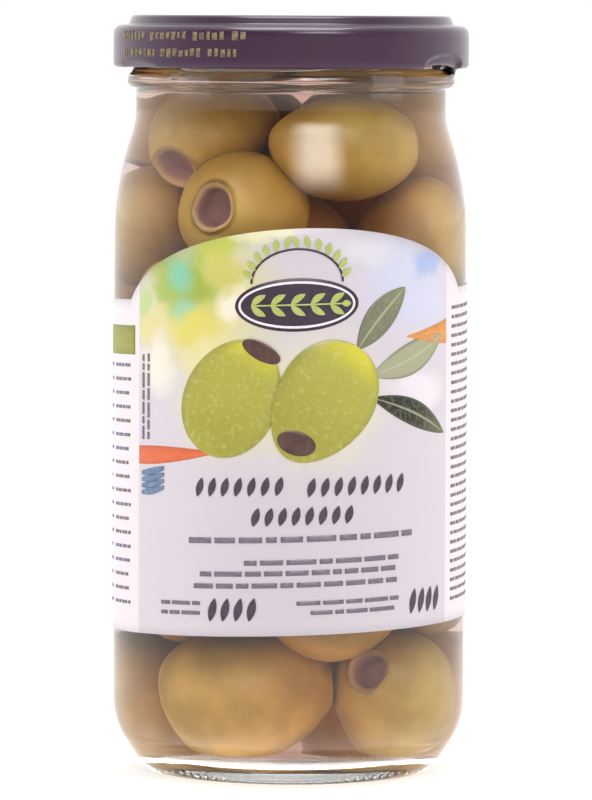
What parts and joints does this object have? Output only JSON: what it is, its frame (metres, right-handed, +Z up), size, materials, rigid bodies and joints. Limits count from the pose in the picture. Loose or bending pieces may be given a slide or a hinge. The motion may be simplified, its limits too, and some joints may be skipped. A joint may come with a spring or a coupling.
{
  "type": "jar of olives",
  "caption": "Round clear glass jar of green olives in brine, closed by a pressed steel twist-off cap and wrapped in an arched paper label.",
  "frame": {"origin": "middle of the base, in the plane of the ring that the jar stands on", "axes": "+Z up along the jar's axis, -Y towards the front of the label, +X to the right of the label"},
  "size_m": [0.0666, 0.0666, 0.142],
  "materials": {
    "glass": "clear flint glass, blown and pressed, polished",
    "lid_enamel": "dark purple gloss enamel on tinplate",
    "label_paper": "satin coated label paper, printed",
    "brine": "green-brown olives under clear tea-coloured brine"
  },
  "bodies": {
    "root": {"jar": "glass", "lid": "lid_enamel", "label": "label_paper", "brine": "brine"}
  },
  "joints": []
}
